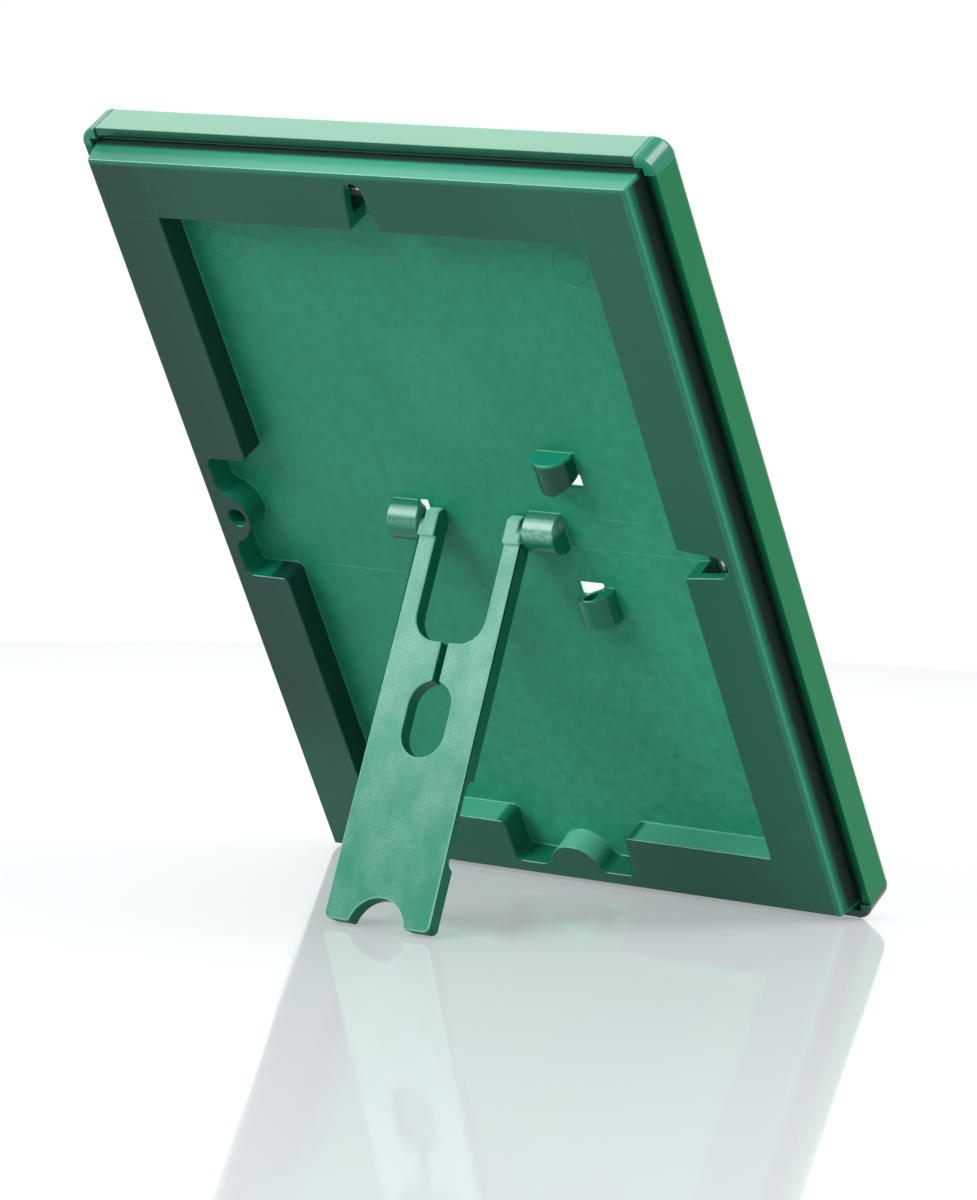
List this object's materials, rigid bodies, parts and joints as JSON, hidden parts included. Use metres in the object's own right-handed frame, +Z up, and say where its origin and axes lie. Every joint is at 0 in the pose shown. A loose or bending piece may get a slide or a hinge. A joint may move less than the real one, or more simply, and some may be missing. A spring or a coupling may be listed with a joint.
{
  "type": "snap frame",
  "caption": "Small free-standing snap frame: a plastic tray with spring-loaded metal profiles that flip open round the sheet, rounded corners and a folding strut.",
  "frame": {"origin": "on the surface that the frame stands on, at the middle of its outline from above", "axes": "+Z up, the displayed sheet faces -Y and leans back towards +Y, +X to the right as seen from the front"},
  "size_m": [0.123, 0.0942, 0.1454],
  "materials": {
    "tray_plastic": "moulded green plastic, satin gloss",
    "strut_plastic": "moulded green plastic, fine grain",
    "cap_plastic": "moulded green plastic, glossy",
    "coated_aluminium": "green coated aluminium, satin",
    "spring_wire": "drawn spring steel wire",
    "sheet_paper": "plain white sheet",
    "clear_sheet": "clear plastic sheet"
  },
  "bodies": {
    "frame": {"back_tray": "tray_plastic", "insert_sheet": "sheet_paper", "cover_sheet": "clear_sheet", "corner_cap_top_left": "cap_plastic", "corner_cap_bottom_left": "cap_plastic", "corner_cap_bottom_right": "cap_plastic", "corner_cap_top_right": "cap_plastic", "spring_top": "spring_wire", "spring_left": "spring_wire", "springs_bottom": "spring_wire", "springs_right": "spring_wire"},
    "strut": {"strut": "strut_plastic"},
    "profile_top": {"profile_top": "coated_aluminium"},
    "profile_left": {"profile_left": "coated_aluminium"},
    "profile_bottom": {"profile_bottom": "coated_aluminium"},
    "profile_right": {"profile_right": "coated_aluminium"}
  },
  "joints": [
    {"name": "strut_fold", "type": "hinge", "parent": "frame", "child": "strut", "pos_m": [0, 0.00386, 0.07045], "axis": [-1, 0, 0], "range_deg": [0, 52.7]},
    {"name": "profile_top_open", "type": "hinge", "parent": "frame", "child": "profile_top", "pos_m": [0, 0.04385, 0.14104], "axis": [-1, 0, 0], "range_deg": [0, 90]},
    {"name": "profile_bottom_open", "type": "hinge", "parent": "frame", "child": "profile_bottom", "pos_m": [0, -0.04076, 0.00149], "axis": [1, 0, 0], "range_deg": [0, 90]},
    {"name": "profile_left_open", "type": "hinge", "parent": "frame", "child": "profile_left", "pos_m": [-0.0601, 0.00155, 0.07127], "axis": [0, -0.5185, -0.8551], "range_deg": [0, 90]},
    {"name": "profile_right_open", "type": "hinge", "parent": "frame", "child": "profile_right", "pos_m": [0.0601, 0.00155, 0.07127], "axis": [0, 0.5185, 0.8551], "range_deg": [0, 90]}
  ]
}
